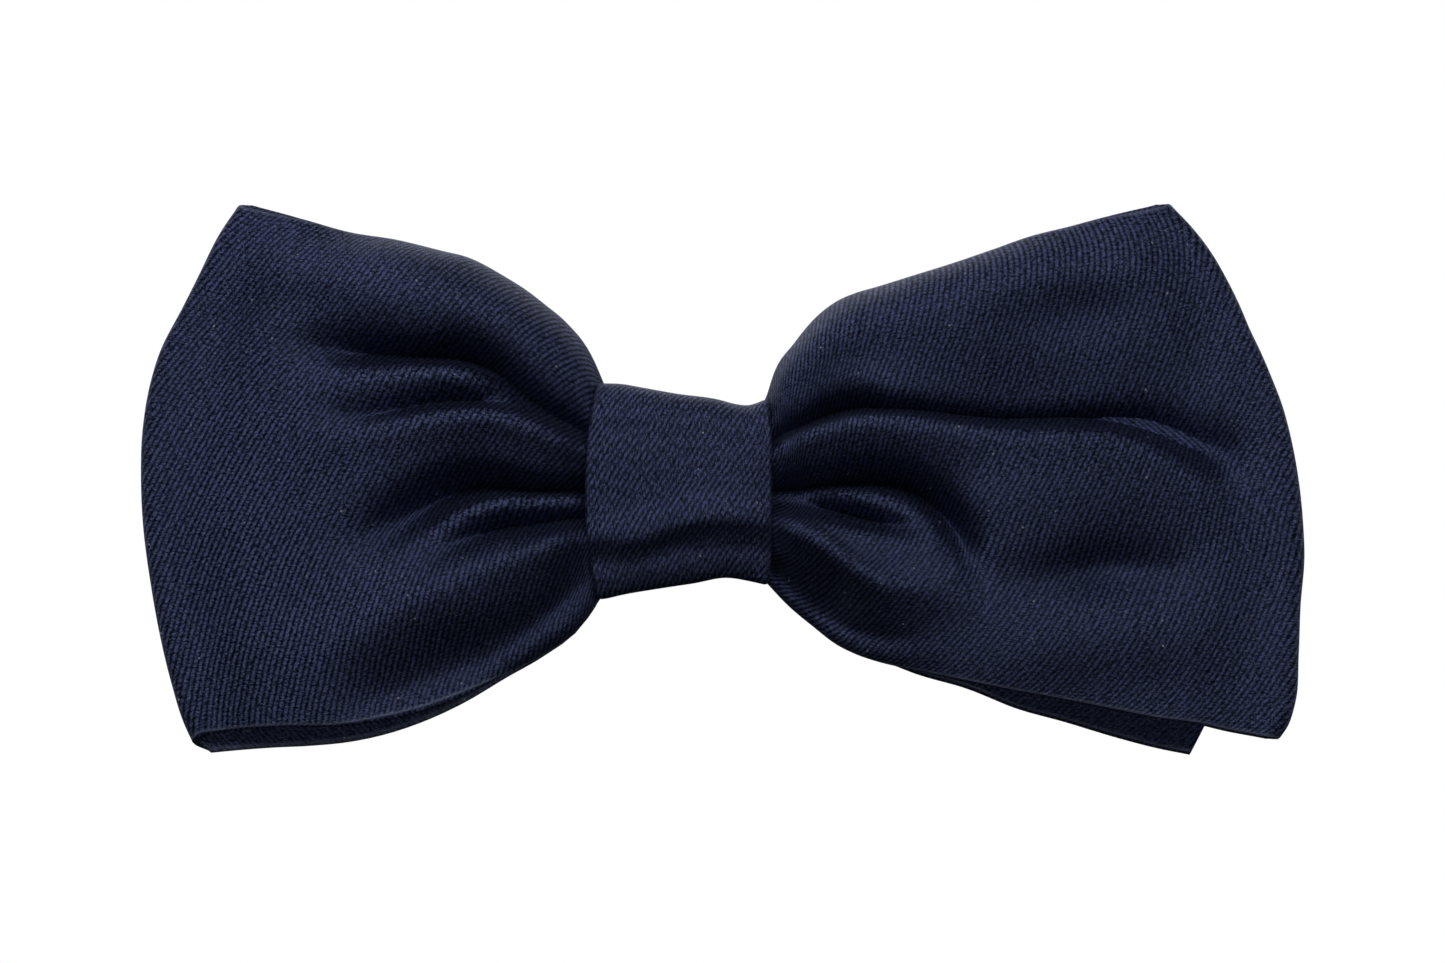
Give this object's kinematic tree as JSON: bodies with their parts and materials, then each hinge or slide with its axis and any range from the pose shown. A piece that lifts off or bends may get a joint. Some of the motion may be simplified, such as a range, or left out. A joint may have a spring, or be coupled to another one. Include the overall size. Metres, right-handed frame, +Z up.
{
  "type": "bow tie",
  "caption": "Ready-tied satin bow tie with gathered, puffed wings, a wrapped knot band and a sprung metal clip behind it that grips a shirt collar.",
  "frame": {"origin": "middle of the clip, on the clip plate's rear face, where the collar leaf lies", "axes": "as worn: the bow faces -Y, the collar is on the +Y side, +X runs to the right for someone looking at the bow, +Z is up"},
  "size_m": [0.1202, 0.0211, 0.0572],
  "materials": {
    "navy_satin": "satin weave with fine twill lines",
    "band_satin": "satin weave with fine twill lines",
    "lining_canvas": "matt canvas",
    "navy_thread": "spun polyester thread",
    "plated_steel": "nickel plated",
    "pin_steel": "nickel plated",
    "spring_wire": "drawn wire"
  },
  "bodies": {
    "bow": {"loop_satin": "navy_satin", "loop_lining": "lining_canvas", "loop_seam_stitches": "navy_thread", "tail_satin": "navy_satin", "tail_lining": "lining_canvas", "tail_end_stitches": "navy_thread", "gather_thread": "navy_thread", "band_satin": "band_satin", "band_lining": "lining_canvas", "band_stitches": "navy_thread", "clip_base": "plated_steel", "left_pin": "pin_steel", "right_pin": "pin_steel", "left_spring": "spring_wire", "right_spring": "spring_wire"},
    "left_jaw": {"left_jaw": "plated_steel"},
    "right_jaw": {"right_jaw": "plated_steel"}
  },
  "joints": [
    {"name": "left_jaw_hinge", "type": "hinge", "parent": "bow", "child": "left_jaw", "pos_m": [-0.01808, 0.003, 0], "axis": [0, 0, -1], "range_deg": [0, 30], "stiffness_Nm_per_rad": 0.02, "springref_deg": -85.94, "deforming": ["left_spring"]},
    {"name": "right_jaw_hinge", "type": "hinge", "parent": "bow", "child": "right_jaw", "pos_m": [0.01808, 0.003, 0], "axis": [0, 0, 1], "range_deg": [0, 30], "stiffness_Nm_per_rad": 0.02, "springref_deg": -85.94, "deforming": ["right_spring"]}
  ]
}
